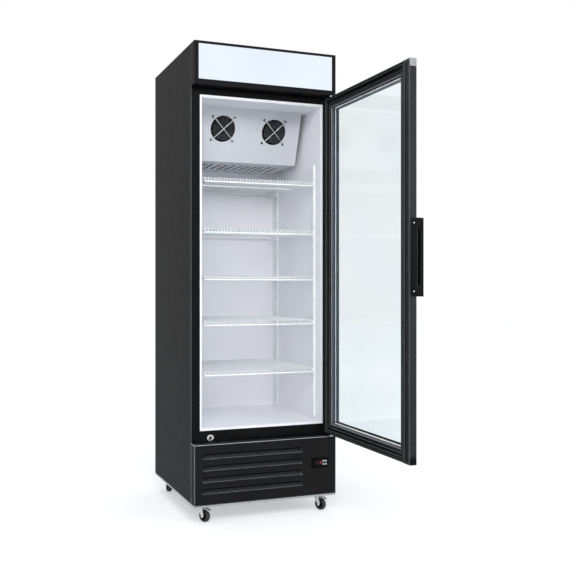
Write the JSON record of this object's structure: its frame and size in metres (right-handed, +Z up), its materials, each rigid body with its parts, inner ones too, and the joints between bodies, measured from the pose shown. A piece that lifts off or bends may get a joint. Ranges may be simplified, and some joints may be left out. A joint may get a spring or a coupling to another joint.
{
  "type": "glass door freezer",
  "caption": "Upright display freezer with a hinged glass door standing open, a lit canopy, wire shelves, fan-cooled white compartment, louvred base and braked swivel casters.",
  "frame": {"origin": "on the floor under the middle of the cabinet's footprint, casters standing on z = 0", "axes": "+X towards the door's hinge side, +Y towards the back, +Z up"},
  "size_m": [0.646, 1.2008, 1.91],
  "materials": {
    "galvanised_steel": "spangled satin",
    "black_paint": "satin black powder coat",
    "black_frame": "satin black extruded plastic",
    "black_plastic": "fine satin",
    "foam": "cast foam",
    "white_liner": "smooth vacuum-formed",
    "white_sheet": "satin white paint",
    "white_plastic": "satin",
    "white_wire": "white coated wire",
    "lit_diffuser": "opal, lit from behind",
    "led_strip": "light strip on a white tray",
    "chrome_lock": "polished",
    "zinc_wire": "bright zinc plated",
    "zinc_plate": "bright zinc plated",
    "motor_paint": "semi-gloss black",
    "finned_aluminium": "mill finish",
    "nylon": "moulded",
    "gasket_rubber": "dark grey, soft sheen",
    "clear_glass": "clear, three panes",
    "aluminium_spacer": "mill finish",
    "grey_cap": "silver grey",
    "black_rubber": "moulded",
    "wheel_rubber": "solid tread",
    "copper": "drawn copper tube"
  },
  "bodies": {
    "cabinet": {"base_frame": "galvanised_steel", "outer_shell": "black_paint", "back_panel": "galvanised_steel", "cord_gland": "black_plastic", "insulation": "foam", "inner_liner": "white_liner", "face_frame": "black_frame", "canopy_housing": "black_paint", "canopy_panel": "lit_diffuser", "canopy_leds": "led_strip", "grille_panel": "black_paint", "controller_bezel": "black_plastic", "lock_body": "chrome_lock", "evaporator_cover": "white_sheet", "fan_guards": "zinc_wire", "evaporator_fan_motors": "motor_paint", "evaporator_coil": "finned_aluminium", "shelf_standards": "white_plastic", "shelf_clips": "white_plastic", "top_hinge_bracket": "zinc_plate", "bottom_hinge_bracket": "zinc_plate", "compressor": "motor_paint", "compressor_feet": "black_rubber", "condenser_coil": "finned_aluminium", "condenser_fan_frame": "galvanised_steel", "drain_pan": "black_plastic", "refrigerant_pipe": "copper", "electrical_box": "black_plastic", "caster_plates": "zinc_plate", "shelf_1": "white_wire", "shelf_2": "white_wire", "shelf_3": "white_wire", "shelf_4": "white_wire", "shelf_5": "white_wire"},
    "door": {"door_frame": "black_frame", "door_gasket": "gasket_rubber", "glass_panes": "clear_glass", "glass_spacers": "aluminium_spacer", "door_caps": "grey_cap", "door_handle": "black_plastic", "handle_screws": "zinc_plate", "hinge_bushes": "nylon"},
    "lock_cylinder": {"lock_plug": "chrome_lock"},
    "fan_left": {"evaporator_fan_left": "black_plastic"},
    "fan_right": {"evaporator_fan_right": "black_plastic"},
    "condenser_fan": {"condenser_fan_blades": "black_plastic"},
    "button_1": {"controller_button_1": "white_plastic"},
    "button_2": {"controller_button_2": "white_plastic"},
    "button_3": {"controller_button_3": "white_plastic"},
    "button_4": {"controller_button_4": "white_plastic"},
    "swivel_front_left": {"caster_fork_front_left": "zinc_plate"},
    "wheel_front_left": {"caster_wheel_front_left": "wheel_rubber"},
    "swivel_front_right": {"caster_fork_front_right": "zinc_plate"},
    "wheel_front_right": {"caster_wheel_front_right": "wheel_rubber"},
    "swivel_rear_left": {"caster_fork_rear_left": "zinc_plate"},
    "wheel_rear_left": {"caster_wheel_rear_left": "wheel_rubber"},
    "swivel_rear_right": {"caster_fork_rear_right": "zinc_plate"},
    "wheel_rear_right": {"caster_wheel_rear_right": "wheel_rubber"},
    "pedal_left": {"brake_pedal_left": "zinc_plate"},
    "pedal_right": {"brake_pedal_right": "zinc_plate"}
  },
  "joints": [
    {"name": "door_hinge", "type": "hinge", "parent": "cabinet", "child": "door", "pos_m": [0.299, -0.29, 1.029], "axis": [0, 0, 1], "range_deg": [-90, 20]},
    {"name": "lock_turn", "type": "hinge", "parent": "cabinet", "child": "lock_cylinder", "pos_m": [-0.228, -0.254, 0.335], "axis": [0, 1, 0], "range_deg": [0, 90]},
    {"name": "button_1_press", "type": "slide", "parent": "cabinet", "child": "button_1", "axis": [0, 1, 0], "range_m": [0, 0.0005], "stiffness_N_per_m": 400, "springref_m": -0.0002},
    {"name": "button_2_press", "type": "slide", "parent": "cabinet", "child": "button_2", "axis": [0, 1, 0], "range_m": [0, 0.0005], "stiffness_N_per_m": 400, "springref_m": -0.0002},
    {"name": "button_3_press", "type": "slide", "parent": "cabinet", "child": "button_3", "axis": [0, 1, 0], "range_m": [0, 0.0005], "stiffness_N_per_m": 400, "springref_m": -0.0002},
    {"name": "button_4_press", "type": "slide", "parent": "cabinet", "child": "button_4", "axis": [0, 1, 0], "range_m": [0, 0.0005], "stiffness_N_per_m": 400, "springref_m": -0.0002},
    {"name": "fan_left_spin", "type": "hinge", "parent": "cabinet", "child": "fan_left", "pos_m": [-0.117, -0.08275, 1.61624], "axis": [0, -0.9511, -0.309], "continuous": true},
    {"name": "fan_right_spin", "type": "hinge", "parent": "cabinet", "child": "fan_right", "pos_m": [0.117, -0.08275, 1.61624], "axis": [0, -0.9511, -0.309], "continuous": true},
    {"name": "condenser_fan_spin", "type": "hinge", "parent": "cabinet", "child": "condenser_fan", "pos_m": [-0.06, -0.16, 0.175], "axis": [0, -1, 0], "continuous": true},
    {"name": "caster_front_left_swivel", "type": "hinge", "parent": "cabinet", "child": "swivel_front_left", "pos_m": [-0.258, -0.23, 0.07], "axis": [0, 0, 1], "continuous": true},
    {"name": "caster_front_left_roll", "type": "hinge", "parent": "swivel_front_left", "child": "wheel_front_left", "pos_m": [-0.25, -0.24612, 0.025], "axis": [0.8957, 0.4446, 0], "continuous": true},
    {"name": "brake_pedal_left_press", "type": "hinge", "parent": "swivel_front_left", "child": "pedal_left", "pos_m": [-0.25667, -0.23269, 0.0545], "axis": [-0.8957, -0.4446, 0], "range_deg": [-7, 15]},
    {"name": "caster_front_right_swivel", "type": "hinge", "parent": "cabinet", "child": "swivel_front_right", "pos_m": [0.258, -0.23, 0.07], "axis": [0, 0, 1], "continuous": true},
    {"name": "caster_front_right_roll", "type": "hinge", "parent": "swivel_front_right", "child": "wheel_front_right", "pos_m": [0.266, -0.24612, 0.025], "axis": [0.8957, 0.4446, 0], "continuous": true},
    {"name": "brake_pedal_right_press", "type": "hinge", "parent": "swivel_front_right", "child": "pedal_right", "pos_m": [0.25933, -0.23269, 0.0545], "axis": [-0.8957, -0.4446, 0], "range_deg": [-7, 15]},
    {"name": "caster_rear_left_swivel", "type": "hinge", "parent": "cabinet", "child": "swivel_rear_left", "pos_m": [-0.258, 0.232, 0.07], "axis": [0, 0, 1], "continuous": true},
    {"name": "caster_rear_left_roll", "type": "hinge", "parent": "swivel_rear_left", "child": "wheel_rear_left", "pos_m": [-0.258, 0.25, 0.025], "axis": [-1, 0, 0], "continuous": true},
    {"name": "caster_rear_right_swivel", "type": "hinge", "parent": "cabinet", "child": "swivel_rear_right", "pos_m": [0.258, 0.232, 0.07], "axis": [0, 0, 1], "continuous": true},
    {"name": "caster_rear_right_roll", "type": "hinge", "parent": "swivel_rear_right", "child": "wheel_rear_right", "pos_m": [0.258, 0.25, 0.025], "axis": [-1, 0, 0], "continuous": true}
  ]
}
